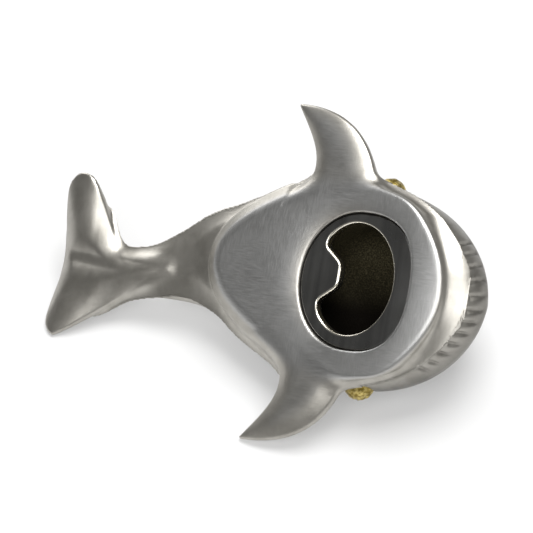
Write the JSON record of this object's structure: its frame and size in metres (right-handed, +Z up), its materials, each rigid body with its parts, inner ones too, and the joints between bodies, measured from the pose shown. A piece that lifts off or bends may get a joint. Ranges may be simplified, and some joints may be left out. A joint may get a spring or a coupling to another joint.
{
  "type": "bottle opener",
  "caption": "Cast metal whale bottle opener lying on its back, with a steel opener plate set in its ground belly and brass pin eyes.",
  "frame": {"origin": "middle of the part's footprint, on the table it rests on", "axes": "+Z up from the table; +X along the whale towards its snout; +Y towards the whale's raised left fin. The whale lies on its back, one fin tip and one fluke tip, with its ground belly facing up and to -Y"},
  "size_m": [0.1447, 0.0765, 0.0606],
  "materials": {
    "cast_metal": "satin, belly brushed",
    "plate_steel": "smooth dark, cut edges bright",
    "eye_brass": "hammered, dulled"
  },
  "bodies": {
    "root": {"whale_body": "cast_metal", "opener_plate": "plate_steel", "left_eye": "eye_brass", "right_eye": "eye_brass"}
  },
  "joints": []
}
